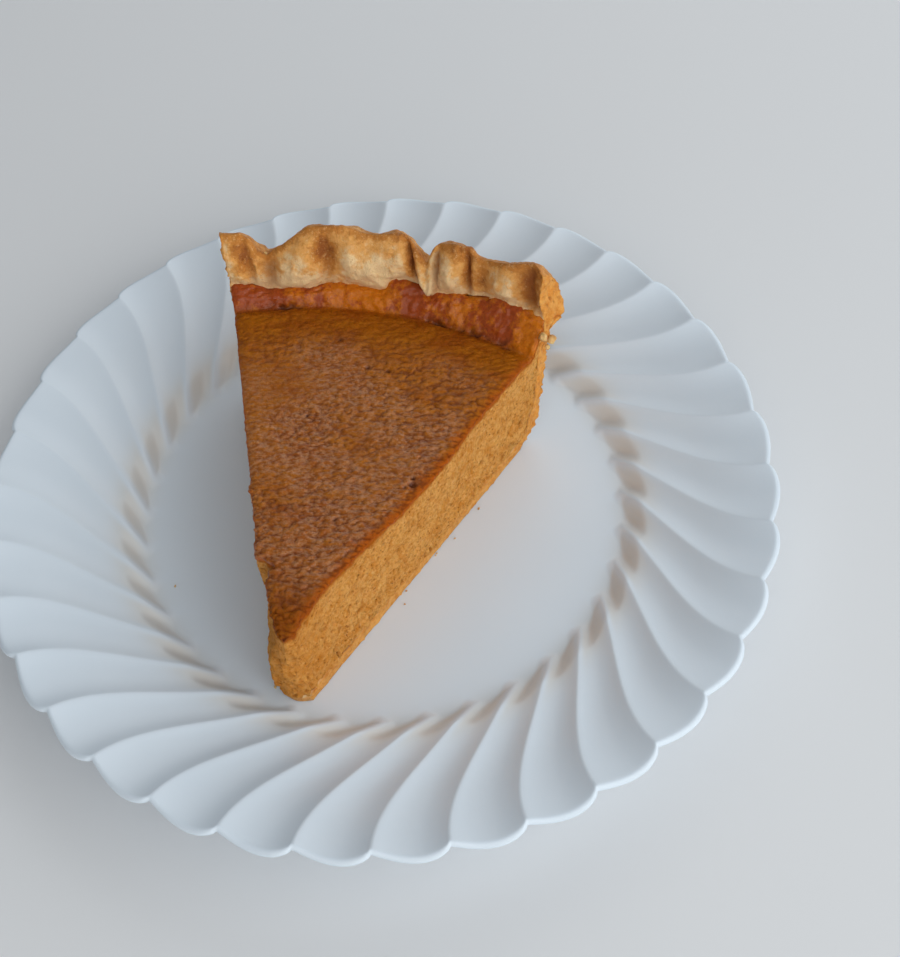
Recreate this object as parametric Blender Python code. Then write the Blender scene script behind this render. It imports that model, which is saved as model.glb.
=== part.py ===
"""One slice of pumpkin pie on its swirl-fluted plate.

Three solids: the plate, the pie crust (base, side wall and crimped rim in one piece) and the custard
filling. The origin is the centre of the plate's foot, on the surface it stands on. +Z is up, and the
slice points towards -Y. The slice is modelled in polar terms: a radius from the centre of the whole
pie that it was cut from, an angle in degrees clockwise from +Y, and a height above the crust's base.
"""

import math

import bmesh
import bpy

MM = 0.001
GAP = 0.3 * MM  # between pieces that touch

# Plate
FLUTES = 36
FLUTE_STEP = 360.0 / FLUTES
FIRST_NOTCH = 0.99  # degrees anticlockwise from +X
RIM_RADIUS = 98.0 * MM  # circle through the notches of the edge
SCALLOP = 2.2 * MM  # how far a lobe stands out past that circle
SCALLOP_LEAN = 0.66  # below 1, a lobe is fullest just clockwise of its notch
WELL_RADIUS = 59.4 * MM  # where the flat floor ends
WALL_END = 67.0 * MM  # top of the steep step around the floor
WALL_RISE = 3.6 * MM
HOLLOW_REACH = 3.0 * MM  # how much further out the step starts between two ridges
FLUTE_START = 62.0 * MM
FLUTE_FULL = 82.0 * MM  # where the flutes reach their full depth
FLUTE_DEPTH = 1.4 * MM
INNER_DEPTH = 0.9 * MM  # depth of the flutes at the top of the step
FLUTE_SWIRL = 20.5  # degrees that a ridge turns between its inner end and the edge
SWIRL_CURVE = 2.05
FLOOR_Z = 6.0 * MM
RIM_RISE = 14.7 * MM
RISE_POWER = 1.08
PLATE_THICKNESS = 3.2 * MM
EDGE_THICKNESS = 2.3 * MM
FOOT_OUTER = 52.5 * MM
FOOT_INNER = 49.0 * MM
FOOT_SLOPE = 1.2 * MM
UNDERSIDE_Z = 2.0 * MM  # underside of the middle, inside the foot
LOBE_SAMPLES = (0.0, 0.12, 0.35, 0.68)  # places along one flute's width

# Slice
PIE_CENTRE = (-20.3 * MM, -63.6 * MM)
SLICE_Z = FLOOR_Z + GAP
LEFT_CUT = -9.6
RIGHT_CUT = 34.9
RIM_SETBACK = 1.6  # degrees that the crumbled rim stops short of the right cut
SETBACK_START = 36.0 * MM
SETBACK_END = 46.0 * MM
SLICE_STEPS = 40
CRUST_TIP = 7.8 * MM
FILLING_TIP = 6.2 * MM
NOSE = 2.4 * MM  # how far the corners of the blunt tip are rounded back
FILLING_TOP = 34.6 * MM
CREASE_RADIUS = 102.6 * MM
CREASE_HEIGHT = 34.0 * MM
CONTACT_RADIUS = 108.3 * MM  # where filling, crust and air meet, on average
CONTACT_HEIGHT = 38.0 * MM
RIM_MEAN_HEIGHT = 53.6 * MM
RIM_MEAN_RADIUS = 112.3 * MM
LIP_RADIUS = 119.6 * MM
LIP_HEIGHT = 40.0 * MM
LIP_LIFT = 3.0 * MM  # how much higher the lip hangs at the right cut

# Radius and height of the crust's outer and inner sides, from the base up to the rim.
OUTER_WALL = [
    (98.0, 0.0),
    (101.4, 0.8),
    (103.6, 2.9),
    (106.0, 6.6),
    (107.7, 12.0),
    (108.8, 18.5),
    (109.3, 27.0),
    (109.9, 32.0),
]
INNER_WALL = [
    (94.5, 3.5),
    (98.6, 4.8),
    (101.6, 7.8),
    (103.6, 12.6),
    (104.8, 18.5),
    (105.3, 26.0),
    (105.8, 33.0),
]
# The crimped rim: angle and height of the hollows and crests along it.
RIM_HEIGHTS = [
    (-9.6, 52.1),
    (-7.2, 52.1),
    (-6.0, 50.1),
    (-5.1, 45.9),
    (-4.0, 43.7),
    (-2.2, 46.8),
    (0.0, 50.4),
    (2.3, 52.5),
    (4.7, 53.3),
    (7.3, 52.8),
    (9.2, 51.7),
    (11.7, 52.2),
    (14.6, 52.4),
    (16.2, 50.9),
    (17.4, 47.9),
    (18.3, 44.9),
    (18.8, 49.7),
    (19.7, 51.6),
    (22.4, 53.3),
    (24.0, 53.1),
    (25.9, 50.2),
    (27.4, 50.9),
    (30.6, 53.4),
    (33.2, 54.4),
    (34.9, 52.7),
]
# Angle, and how far out and up the filling meets the crust, as a signed distance from the mean.
CONTACT_SHIFTS = [
    (-9.6, 0.2),
    (-3.5, -2.7),
    (0.0, -2.7),
    (5.5, -0.9),
    (11.0, -1.8),
    (13.4, 2.1),
    (17.0, 1.4),
    (18.3, -0.6),
    (19.6, 0.9),
    (24.7, 1.9),
    (30.0, 4.5),
    (34.9, 3.8),
]
CONTACT_OUT = 0.5
CONTACT_UP = 0.72


def between(keys, place):
    """Value at a place along a list of (place, value) keys, eased from key to key."""
    if place <= keys[0][0]:
        return keys[0][1]
    for (left, low), (right, high) in zip(keys, keys[1:]):
        if place <= right:
            share = (place - left) / (right - left)
            return low + (high - low) * (0.5 - 0.5 * math.cos(math.pi * share))
    return keys[-1][1]


def ramp(low, high, value):
    """0 below low, 1 above high, with a smooth rise between."""
    share = min(max((value - low) / (high - low), 0.0), 1.0)
    return share * share * (3.0 - 2.0 * share)


def make_material(name, colour, roughness):
    material = bpy.data.materials.new(name)
    material.use_nodes = True
    shader = material.node_tree.nodes["Principled BSDF"]
    shader.inputs["Base Color"].default_value = (*colour, 1.0)
    shader.inputs["Roughness"].default_value = roughness
    shader.inputs["Metallic"].default_value = 0.0
    material.diffuse_color = (*colour, 1.0)
    return material


def make_object(name, shape, material, smooth_angle):
    """Turns a bmesh into a named object, its faces outwards, shaded smooth up to an angle."""
    bmesh.ops.recalc_face_normals(shape, faces=shape.faces)
    mesh = bpy.data.meshes.new(name)
    shape.to_mesh(mesh)
    shape.free()
    mesh.materials.append(material)
    mesh.shade_smooth()
    mesh.set_sharp_from_angle(angle=math.radians(smooth_angle))
    made = bpy.data.objects.new(name, mesh)
    bpy.context.scene.collection.objects.link(made)
    return made


def skin(shape, rows, closed_rows):
    """Quads between neighbouring rows of vertices."""
    for row, following in zip(rows, rows[1:]):
        count = len(row)
        for i in range(count if closed_rows else count - 1):
            j = (i + 1) % count
            shape.faces.new((row[i], row[j], following[j], following[i]))


def fan(shape, row, centre):
    """Triangles from a closed row to one centre vertex."""
    for i, vertex in enumerate(row):
        shape.faces.new((vertex, row[(i + 1) % len(row)], centre))


# ---------------------------------------------------------------- plate


def plate_rise(radius, hollow=0.0):
    """Height of the plate's upper side over its floor, on a ridge or, with hollow 1, between two."""
    share = max(radius - FLUTE_START, 0.0) / (RIM_RADIUS - FLUTE_START)
    step = ramp(WELL_RADIUS + HOLLOW_REACH * hollow, WALL_END + 0.4 * HOLLOW_REACH * hollow, radius)
    return WALL_RISE * step + (RIM_RISE - WALL_RISE) * share**RISE_POWER


def flute_dip(radius, hollow):
    """How far the scoop between two ridges lies below them."""
    inner = INNER_DEPTH * ramp(WELL_RADIUS + 1.0 * MM, WALL_END, radius)
    outer = (FLUTE_DEPTH - INNER_DEPTH) * ramp(WALL_END, FLUTE_FULL, radius)
    return (inner + outer) * hollow


def plate_thickness(radius):
    return PLATE_THICKNESS + (EDGE_THICKNESS - PLATE_THICKNESS) * ramp(72.0 * MM, 97.0 * MM, radius)


def lobe_reach(radius, lobe):
    """How far a lobe of the edge carries this ring outwards."""
    return SCALLOP * math.sin(math.pi * lobe**SCALLOP_LEAN) * (radius / RIM_RADIUS) ** 12


def swirl(radius):
    """Degrees that a ridge has turned anticlockwise at this radius, against its end at the edge."""
    inward = (RIM_RADIUS - radius) / (RIM_RADIUS - FLUTE_START)
    return FLUTE_SWIRL * min(max(inward, 0.0), 1.0) ** SWIRL_CURVE


def fluted_ring(shape, radius, drop, shrink=0.0):
    """One ring of the fluted rim, drop below the upper side and shrink inside the edge."""
    ring = []
    under = drop > 0.0
    for flute in range(FLUTES):
        for lobe in LOBE_SAMPLES:
            hollow = 4.0 * lobe * (1.0 - lobe)
            turn = math.radians(FIRST_NOTCH - FLUTE_STEP * (flute + lobe) + swirl(radius))
            reach = radius + lobe_reach(radius, lobe) - shrink
            rise = plate_rise(radius, 0.0 if under else hollow)
            height = FLOOR_Z + rise - flute_dip(radius, hollow) - drop
            ring.append(shape.verts.new((reach * math.cos(turn), reach * math.sin(turn), height)))
    return ring


def plain_ring(shape, radius, height):
    """One round ring, with a vertex for each vertex of a fluted ring."""
    ring = []
    for flute in range(FLUTES):
        for lobe in LOBE_SAMPLES:
            turn = math.radians(FIRST_NOTCH - FLUTE_STEP * (flute + lobe) + FLUTE_SWIRL)
            place = (radius * math.cos(turn), radius * math.sin(turn), height)
            ring.append(shape.verts.new(place))
    return ring


def make_plate(material):
    shape = bmesh.new()
    upper = [40.0, 59.4, 61.4, 63.4, 65.5, 68.0, 74.0, 82.0, 90.0, 96.5]
    under = [96.0, 88.0, 78.0, 69.0, 62.0]
    edge = 0.5 * EDGE_THICKNESS
    rings = [fluted_ring(shape, radius * MM, 0.0) for radius in upper]
    rings.append(fluted_ring(shape, RIM_RADIUS, 0.25 * edge, 0.25 * edge))
    rings.append(fluted_ring(shape, RIM_RADIUS, edge))
    rings.append(fluted_ring(shape, RIM_RADIUS, 1.75 * edge, 0.25 * edge))
    rings += [fluted_ring(shape, radius * MM, plate_thickness(radius * MM)) for radius in under]
    rings.append(plain_ring(shape, FOOT_OUTER + FOOT_SLOPE, UNDERSIDE_Z))
    rings.append(plain_ring(shape, FOOT_OUTER, 0.0))
    rings.append(plain_ring(shape, FOOT_INNER, 0.0))
    rings.append(plain_ring(shape, FOOT_INNER - FOOT_SLOPE, UNDERSIDE_Z))
    skin(shape, rings, closed_rows=True)
    fan(shape, rings[0], shape.verts.new((0.0, 0.0, FLOOR_Z)))
    fan(shape, rings[-1], shape.verts.new((0.0, 0.0, UNDERSIDE_Z)))
    return make_object("plate", shape, material, smooth_angle=25.0)


# ---------------------------------------------------------------- slice


def contact(angle):
    """Radius and height where the filling meets the crust."""
    shift = between(CONTACT_SHIFTS, angle) * MM
    return CONTACT_RADIUS + CONTACT_OUT * shift, CONTACT_HEIGHT + CONTACT_UP * shift


def rim_profile(angle):
    """Radius and height of the crimped rim, from its foot inside, over the top, to the lip outside."""
    in_radius, in_height = contact(angle)
    height = between(RIM_HEIGHTS, angle) * MM
    over = height - RIM_MEAN_HEIGHT
    top = RIM_MEAN_RADIUS + 0.173 * over
    out = LIP_RADIUS + 0.4 * over
    lift = LIP_LIFT * ramp(28.0, 34.0, angle)
    face = top - in_radius
    climb = height - in_height
    drop = height - LIP_HEIGHT - lift
    return [
        (in_radius, in_height),
        (in_radius - 0.5 * MM + 0.14 * face, in_height + 0.38 * climb),
        (in_radius + 0.40 * face, in_height + 0.70 * climb),
        (in_radius + 0.80 * face, in_height + 0.94 * climb),
        (top, height),
        (top + 0.30 * (out - top), height - 0.14 * drop),
        (top + 0.72 * (out - top), height - 0.48 * drop),
        (out, LIP_HEIGHT + lift),
        (out - 0.6 * MM, LIP_HEIGHT - 3.8 * MM + lift),
        (out - 2.4 * MM, LIP_HEIGHT - 5.6 * MM + lift),
        (112.4 * MM, LIP_HEIGHT - 5.0 * MM + lift),
    ]


def nose(angle):
    """How far the tip is set back at this angle."""
    share = (angle - LEFT_CUT) / (RIGHT_CUT - LEFT_CUT)
    return NOSE * (2.0 * share - 1.0) ** 2


def crust_profile(angle):
    """Closed outline of the crust cut at this angle: base, outer wall, rim, inner wall."""
    outer = [(radius * MM, height * MM) for radius, height in OUTER_WALL]
    inner = [(radius * MM, height * MM) for radius, height in INNER_WALL]
    rim = rim_profile(angle)
    start = CRUST_TIP + nose(angle)
    tip = [(start, inner[0][1]), (start, 0.0)]
    return tip + outer + rim[::-1] + inner[::-1]


def filling_profile(angle):
    """Closed outline of the filling cut at this angle, clear of the crust all along."""
    in_radius, in_height = contact(angle)
    start = FILLING_TIP + nose(angle)
    wall = [(radius * MM - 1.4 * GAP, height * MM + 1.4 * GAP) for radius, height in INNER_WALL]
    band = [
        (in_radius - 1.4 * GAP, in_height + 0.4 * GAP),
        (in_radius - 2.2 * MM, in_height - 0.5 * MM),
        (0.35 * in_radius + 0.65 * CREASE_RADIUS, 0.5 * (in_height + CREASE_HEIGHT)),
        (CREASE_RADIUS, CREASE_HEIGHT),
    ]
    top = [
        (99.5 * MM, FILLING_TOP),
        (60.0 * MM, FILLING_TOP),
        (14.0 * MM, FILLING_TOP - 0.2 * MM),
        (start, FILLING_TOP - 1.2 * MM),
    ]
    tip = [(start + 0.4 * MM, 18.0 * MM), (start + 0.9 * MM, wall[0][1])]
    return wall + band + top + tip


def slice_angle(share, height):
    """Angle at this share of the way from the left cut to the right one, at this height."""
    end = RIGHT_CUT - RIM_SETBACK * ramp(SETBACK_START, SETBACK_END, height)
    return LEFT_CUT + share * (end - LEFT_CUT)


def slice_vertex(shape, share, radius, height):
    turn = math.radians(slice_angle(share, height))
    east = PIE_CENTRE[0] + radius * math.sin(turn)
    north = PIE_CENTRE[1] + radius * math.cos(turn)
    return shape.verts.new((east, north, SLICE_Z + height))


def make_wedge(name, profile, material):
    """Sweeps a profile from the left cut to the right one and closes both cuts."""
    shape = bmesh.new()
    rows = []
    for step in range(SLICE_STEPS + 1):
        share = step / SLICE_STEPS
        outline = profile(LEFT_CUT + share * (RIGHT_CUT - LEFT_CUT))
        rows.append([slice_vertex(shape, share, radius, height) for radius, height in outline])
    skin(shape, rows, closed_rows=True)
    shape.faces.new(rows[0])
    shape.faces.new(rows[-1])
    return make_object(name, shape, material, smooth_angle=35.0)


def main():
    for thing in list(bpy.data.objects):
        bpy.data.objects.remove(thing)
    glaze = make_material("white_glaze", (0.80, 0.82, 0.83), 0.12)
    pastry = make_material("baked_pastry", (0.72, 0.43, 0.17), 0.62)
    custard = make_material("pumpkin_custard", (0.42, 0.16, 0.03), 0.38)
    make_plate(glaze)
    make_wedge("crust", crust_profile, pastry)
    make_wedge("filling", filling_profile, custard)


main()
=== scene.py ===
"""Looks of one slice of pumpkin pie on its swirl-fluted plate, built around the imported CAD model.

Three pieces stand for the three CAD solids: plate, crust and filling. A fourth, crumbs, is loose bits
of pastry. Shapes are worked out in millimetres and turned into metres when a mesh is made. The slice
is described in polar terms, as in the CAD: a radius from the centre of the whole pie, an angle in
degrees clockwise from +Y, and a height above the crust's base.
"""

import itertools
import math

import bmesh
import bpy
import numpy as np
from mathutils import Matrix, Vector


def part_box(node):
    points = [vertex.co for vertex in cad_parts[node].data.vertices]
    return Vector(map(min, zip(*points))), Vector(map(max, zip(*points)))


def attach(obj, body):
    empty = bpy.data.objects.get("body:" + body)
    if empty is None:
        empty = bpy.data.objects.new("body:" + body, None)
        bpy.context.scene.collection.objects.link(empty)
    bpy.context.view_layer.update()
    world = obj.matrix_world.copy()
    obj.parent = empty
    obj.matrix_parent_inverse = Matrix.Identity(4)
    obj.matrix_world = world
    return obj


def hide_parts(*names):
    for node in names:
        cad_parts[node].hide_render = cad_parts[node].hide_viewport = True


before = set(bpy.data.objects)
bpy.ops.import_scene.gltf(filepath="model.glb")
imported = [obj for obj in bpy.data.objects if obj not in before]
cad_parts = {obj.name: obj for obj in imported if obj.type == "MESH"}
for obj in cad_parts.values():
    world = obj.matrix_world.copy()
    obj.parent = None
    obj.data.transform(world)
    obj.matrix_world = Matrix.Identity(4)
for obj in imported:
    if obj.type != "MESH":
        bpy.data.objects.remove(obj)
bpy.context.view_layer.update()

MM = 0.001

# Plate
FLUTES = 36
FLUTE_STEP = 360.0 / FLUTES
FIRST_NOTCH = 0.99  # degrees anticlockwise from +X
RIM_RADIUS = 98.0  # circle through the notches of the edge
SCALLOP = 2.2  # how far a lobe stands out past that circle
SCALLOP_LEAN = 0.66
WELL_RADIUS = 59.4
FLUTE_START = 62.0
FLUTE_FULL = 82.0
FLUTE_DEPTH = 1.4
INNER_DEPTH = 0.9
HOLLOW_REACH = 3.0  # how much further out the step around the well starts between two ridges
FLUTE_SWIRL = 20.5
SWIRL_CURVE = 2.05
FLOOR_Z = 6.0
RIM_RISE = 14.7
WALL_RISE = 3.6  # the steep step around the well
WALL_END = 67.0
RISE_POWER = 1.08
PLATE_THICKNESS = 3.2
EDGE_THICKNESS = 2.3
FOOT_OUTER = 52.5
FOOT_INNER = 49.0
UNDERSIDE_Z = 2.0
FLUTE_SAMPLES = 20

# Slice
PIE_CENTRE = (-20.3, -63.6)
SLICE_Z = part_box("crust")[0].z / MM
LEFT_CUT = -9.6
RIGHT_CUT = 34.9
SPREAD = RIGHT_CUT - LEFT_CUT
BASE_TOP = 3.7  # upper side of the crust's base
FILLING_TOP = 34.6
CREASE_RADIUS = 102.6
CREASE_HEIGHT = 34.0
CONTACT_RADIUS = 108.3
CONTACT_HEIGHT = 38.0
CONTACT_OUT = 0.5
CONTACT_UP = 0.72
CRUST_TIP = 7.8
RIM_SETBACK = 1.5  # degrees that the crumbled rim stops short of the right cut

INNER_WALL = ((94.5, 3.5), (98.6, 4.8), (101.6, 7.8), (103.6, 12.6), (104.8, 18.5), (105.3, 26.0))
OUTER_WALL = (
    (98.0, 0.0),
    (101.4, 0.8),
    (103.6, 2.9),
    (106.0, 6.6),
    (107.7, 12.0),
    (108.8, 18.5),
    (109.3, 27.0),
)
RIM_HEIGHTS = (
    (-9.6, 52.1),
    (-7.2, 52.1),
    (-6.0, 50.1),
    (-5.1, 45.9),
    (-4.0, 43.7),
    (-2.2, 46.8),
    (0.0, 50.4),
    (2.3, 52.5),
    (4.7, 53.3),
    (7.3, 52.8),
    (9.2, 51.7),
    (11.7, 52.2),
    (14.6, 52.4),
    (16.2, 50.9),
    (17.4, 47.9),
    (18.3, 44.9),
    (18.8, 49.7),
    (19.7, 51.6),
    (22.4, 53.3),
    (24.0, 53.1),
    (25.9, 50.2),
    (27.4, 50.9),
    (30.6, 53.4),
    (33.2, 54.4),
    (34.9, 52.7),
)
CONTACT_SHIFTS = (
    (-9.6, 0.2),
    (-3.5, -2.7),
    (0.0, -2.7),
    (5.5, -0.9),
    (11.0, -1.8),
    (13.4, 2.1),
    (17.0, 1.4),
    (18.3, -0.6),
    (19.6, 0.9),
    (24.7, 1.9),
    (30.0, 4.5),
    (34.9, 3.8),
)
# Right edge of the filling's top: radius and how far the edge strays outwards from a straight cut.
RIGHT_EDGE = ((5.0, 0.0), (15.0, -0.9), (22.0, -1.4), (33.0, -0.7), (48.0, 0.8), (63.0, 1.1), (80.0, 0.0))


# ---------------------------------------------------------------- arithmetic


def keyed(keys, place):
    """Values at places along a list of (place, value) keys, eased from key to key."""
    marks = np.array([key[0] for key in keys])
    values = np.array([key[1] for key in keys])
    index = np.clip(np.searchsorted(marks, place) - 1, 0, len(keys) - 2)
    share = np.clip((place - marks[index]) / (marks[index + 1] - marks[index]), 0.0, 1.0)
    return values[index] + (values[index + 1] - values[index]) * (0.5 - 0.5 * np.cos(np.pi * share))


def smoothed(keys, place, width):
    """Values at places along a list of (place, value) keys, straight from key to key, then softened."""
    marks, values = np.array(keys).T
    offsets = np.linspace(-1.0, 1.0, 9)
    weights = 1.1 - np.abs(offsets)
    found = [weight * np.interp(place + width * offset, marks, values) for weight, offset in zip(weights, offsets)]
    return sum(found) / weights.sum()


def ramp(low, high, value):
    """0 below low, 1 above high, with a smooth rise between."""
    share = np.clip((value - low) / (high - low), 0.0, 1.0)
    return share * share * (3.0 - 2.0 * share)


def hill(distance, width):
    """A bell of height 1: 1 in the middle and under 0.4 one width away."""
    return np.exp(-((distance / width) ** 2))


def hashed(cell, seed):
    """Three repeatable numbers from -1 to 1 for each whole-number cell."""
    key = (cell[..., 0] * 73856093) ^ (cell[..., 1] * 19349663) ^ (cell[..., 2] * 83492791)
    key = (key ^ (seed * 2654435761)) & 0xFFFFFFFF
    numbers = []
    for salt in (0x9E3779B9, 0x7F4A7C15, 0x3C6EF372):
        mixed = (key + salt) & 0xFFFFFFFF
        for _ in range(2):
            mixed = ((mixed ^ (mixed >> 16)) * 0x45D9F3B) & 0xFFFFFFFF
        numbers.append((mixed ^ (mixed >> 16)) / 0x7FFFFFFF - 1.0)
    return np.stack(numbers, axis=-1)


def noise(points, size, seed):
    """Smooth noise from about -1 to 1 at each point. size is the grain, one number or one per axis."""
    scaled = points / np.broadcast_to(np.asarray(size, float), (3,))
    cell = np.floor(scaled).astype(np.int64)
    part = scaled - cell
    ease = part**3 * (part * (part * 6.0 - 15.0) + 10.0)
    total = np.zeros(len(points))
    for corner in itertools.product((0, 1), repeat=3):
        step = np.array(corner)
        weight = np.prod(np.where(step == 1, ease, 1.0 - ease), axis=1)
        total += weight * np.sum(hashed(cell + step, seed) * (part - step), axis=1)
    return 1.4 * total


def rough(points, size, seed, octaves=3):
    """Noise summed over finer and finer grains."""
    size = np.broadcast_to(np.asarray(size, float), (3,))
    return sum(0.5**k * noise(points, size / 2.0**k, seed + k) for k in range(octaves))


def pores(points, size, seed, share=1.0, smallest=0.25, largest=0.48):
    """Depth of scattered round pores, 0 outside and 1 at a pore's middle. share is how many cells hold one."""
    scaled = points / size
    cell = np.floor(scaled).astype(np.int64)
    deepest = np.zeros(len(points))
    for corner in itertools.product((-1, 0, 1), repeat=3):
        near = cell + np.array(corner)
        place = near + 0.5 + 0.4 * hashed(near, seed)
        traits = 0.5 + 0.5 * hashed(near, seed + 1)
        radius = smallest + (largest - smallest) * traits[:, 0] ** 2
        inside = 1.0 - np.sum((scaled - place) ** 2, axis=1) / radius**2
        deepest = np.maximum(deepest, np.where(traits[:, 1] < share, inside, 0.0))
    return np.sqrt(np.maximum(deepest, 0.0))


# ---------------------------------------------------------------- meshes


class Patchwork:
    """A mesh put together from grids and seams of points, welded where they meet."""

    def __init__(self, width):
        self.points = []
        self.faces = []
        self.count = 0
        self.width = width  # numbers that each point carries

    def add(self, grid):
        """Takes an array of points of any shape and returns their numbers in the same shape."""
        grid = np.asarray(grid, float)
        numbers = self.count + np.arange(grid[..., 0].size).reshape(grid.shape[:-1])
        self.points.append(grid.reshape(-1, self.width))
        self.count += numbers.size
        return numbers

    def quads(self, numbers, wrap=False):
        """Quads over a two-way array of point numbers, closed on itself across if wrap is true."""
        if wrap:
            numbers = np.concatenate([numbers, numbers[:, :1]], axis=1)
        corners = (numbers[:-1, :-1], numbers[:-1, 1:], numbers[1:, 1:], numbers[1:, :-1])
        self.faces += np.stack(corners, axis=-1).reshape(-1, 4).tolist()

    def grid(self, points, wrap=False):
        self.quads(self.add(points), wrap)

    def seam(self, first, second):
        """Triangles between two rows of point numbers that run side by side."""
        i = 0
        j = 0
        while i < len(first) - 1 or j < len(second) - 1:
            ahead = (i + 1) / (len(first) - 1) if i < len(first) - 1 else 2.0
            behind = (j + 1) / (len(second) - 1) if j < len(second) - 1 else 2.0
            if ahead <= behind:
                self.faces.append([int(first[i]), int(first[i + 1]), int(second[j])])
                i += 1
            else:
                self.faces.append([int(first[i]), int(second[j + 1]), int(second[j])])
                j += 1

    def welded(self):
        """Points without doubles, and the faces that use them."""
        points = np.concatenate(self.points)
        _, kept, place = np.unique(np.round(points, 4), axis=0, return_index=True, return_inverse=True)
        place = place.reshape(-1)
        faces = []
        for face in self.faces:
            corners = [int(place[corner]) for corner in face]
            corners = [c for c, following in zip(corners, corners[1:] + corners[:1]) if c != following]
            if len(corners) > 2:
                faces.append(corners)
        return points[kept], faces


def make_piece(name, points, faces, material, attributes=None):
    """A mesh object from points in millimetres, its faces turned outwards and shaded smooth."""
    mesh = bpy.data.meshes.new(name)
    mesh.from_pydata((points * MM).tolist(), [], faces)
    shape = bmesh.new()
    shape.from_mesh(mesh)
    bmesh.ops.recalc_face_normals(shape, faces=shape.faces)
    shape.to_mesh(mesh)
    shape.free()
    for key, values in (attributes or {}).items():
        layer = mesh.attributes.new(key, "FLOAT", "POINT")
        layer.data.foreach_set("value", np.asarray(values, np.float32))
    mesh.shade_smooth()
    mesh.materials.append(material)
    piece = bpy.data.objects.new(name, mesh)
    bpy.context.scene.collection.objects.link(piece)
    return piece


# ---------------------------------------------------------------- materials


class Finish:
    """A procedural material, built node by node. Lengths in it are metres."""

    def __init__(self, name):
        self.material = bpy.data.materials.new(name)
        self.material.use_nodes = True
        self.tree = self.material.node_tree
        self.shader = self.tree.nodes["Principled BSDF"]
        coordinates = self.tree.nodes.new("ShaderNodeTexCoord")
        self.place = coordinates.outputs["Object"]

    def link(self, source, socket):
        if isinstance(source, (int, float)):
            socket.default_value = source
        elif isinstance(source, tuple):
            socket.default_value = (*source, 1.0)
        else:
            self.tree.links.new(source, socket)

    def set(self, **values):
        """Sets or links the shader's sockets: base_color= is the socket Base Color, and so on."""
        for key, value in values.items():
            socket = key.replace("_", " ").title().replace("Ior", "IOR")
            self.link(value, self.shader.inputs[socket])

    def attribute(self, name):
        node = self.tree.nodes.new("ShaderNodeAttribute")
        node.attribute_name = name
        return node.outputs["Fac"]

    def stretched(self, stretch, turn=0.0):
        node = self.tree.nodes.new("ShaderNodeMapping")
        node.inputs["Scale"].default_value = stretch
        node.inputs["Rotation"].default_value = (0.0, 0.0, math.radians(turn))
        self.tree.links.new(self.place, node.inputs["Vector"])
        return node.outputs["Vector"]

    def noise(self, grain, detail=4.0, roughness=0.55, distortion=0.0, stretch=None, turn=0.0):
        """Noise from 0 to 1 with a grain in millimetres."""
        node = self.tree.nodes.new("ShaderNodeTexNoise")
        node.inputs["Scale"].default_value = 1.0 / (grain * MM)
        node.inputs["Detail"].default_value = detail
        node.inputs["Roughness"].default_value = roughness
        node.inputs["Distortion"].default_value = distortion
        place = self.place if stretch is None else self.stretched(stretch, turn)
        self.tree.links.new(place, node.inputs["Vector"])
        return node.outputs["Fac"]

    def cells(self, grain, feature="F1", randomness=1.0):
        node = self.tree.nodes.new("ShaderNodeTexVoronoi")
        node.feature = feature
        node.inputs["Scale"].default_value = 1.0 / (grain * MM)
        node.inputs["Randomness"].default_value = randomness
        self.tree.links.new(self.place, node.inputs["Vector"])
        return node.outputs["Distance"]

    def math(self, operation, first, second=0.0, third=0.0):
        node = self.tree.nodes.new("ShaderNodeMath")
        node.operation = operation
        for value, socket in zip((first, second, third), node.inputs):
            self.link(value, socket)
        return node.outputs["Value"]

    def scale(self, value, low, high, to_low=0.0, to_high=1.0, smooth=True):
        """Maps low..high onto to_low..to_high."""
        node = self.tree.nodes.new("ShaderNodeMapRange")
        node.interpolation_type = "SMOOTHSTEP" if smooth else "LINEAR"
        node.clamp = True
        for key, number in zip(
            ("From Min", "From Max", "To Min", "To Max"), (low, high, to_low, to_high)
        ):
            node.inputs[key].default_value = number
        self.link(value, node.inputs["Value"])
        return node.outputs["Result"]

    def mix(self, share, first, second, blend="MIX"):
        node = self.tree.nodes.new("ShaderNodeMix")
        node.data_type = "RGBA"
        node.blend_type = blend
        self.link(share, node.inputs["Factor"])
        self.link(first, node.inputs[6])
        self.link(second, node.inputs[7])
        return node.outputs[2]

    def between(self, share, first, second):
        """A number that goes from first to second with the share."""
        node = self.tree.nodes.new("ShaderNodeMix")
        node.data_type = "FLOAT"
        for value, index in ((share, 0), (first, 2), (second, 3)):
            self.link(value, node.inputs[index])
        return node.outputs[0]

    def bump(self, height, distance, strength=1.0, under=None):
        """Bump whose height, 0 to 1, stands for that many millimetres."""
        node = self.tree.nodes.new("ShaderNodeBump")
        node.inputs["Strength"].default_value = strength
        node.inputs["Distance"].default_value = distance * MM
        self.link(height, node.inputs["Height"])
        if under is not None:
            self.tree.links.new(under, node.inputs["Normal"])
        return node.outputs["Normal"]


def glaze_finish():
    """White glazed ceramic, faintly cool, with the slight waviness of a fired glaze."""
    finish = Finish("white_glaze_finish")
    tone = finish.noise(26.0, detail=3.0)
    colour = finish.mix(tone, (0.70, 0.79, 0.87), (0.735, 0.815, 0.885))
    wave = finish.noise(9.0, detail=2.0)
    orange_peel = finish.noise(1.3, detail=1.0)
    # Painted shade: the hollows of the steep step around the well are tinted darker and warmer, standing in for
    # shade and the orange light bounced up from the slice.
    colour = finish.mix(finish.math("MULTIPLY", finish.attribute("step"), 0.65), colour, (0.70, 0.675, 0.61))
    normal = finish.bump(wave, 0.05)
    normal = finish.bump(orange_peel, 0.004, under=normal)
    finish.set(
        base_color=colour,
        roughness=finish.scale(finish.noise(14.0, detail=3.0), 0.3, 0.7, 0.30, 0.38),
        specular_ior_level=0.5,
        coat_weight=0.10,
        coat_roughness=0.16,
        normal=normal,
    )
    return finish.material


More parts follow.
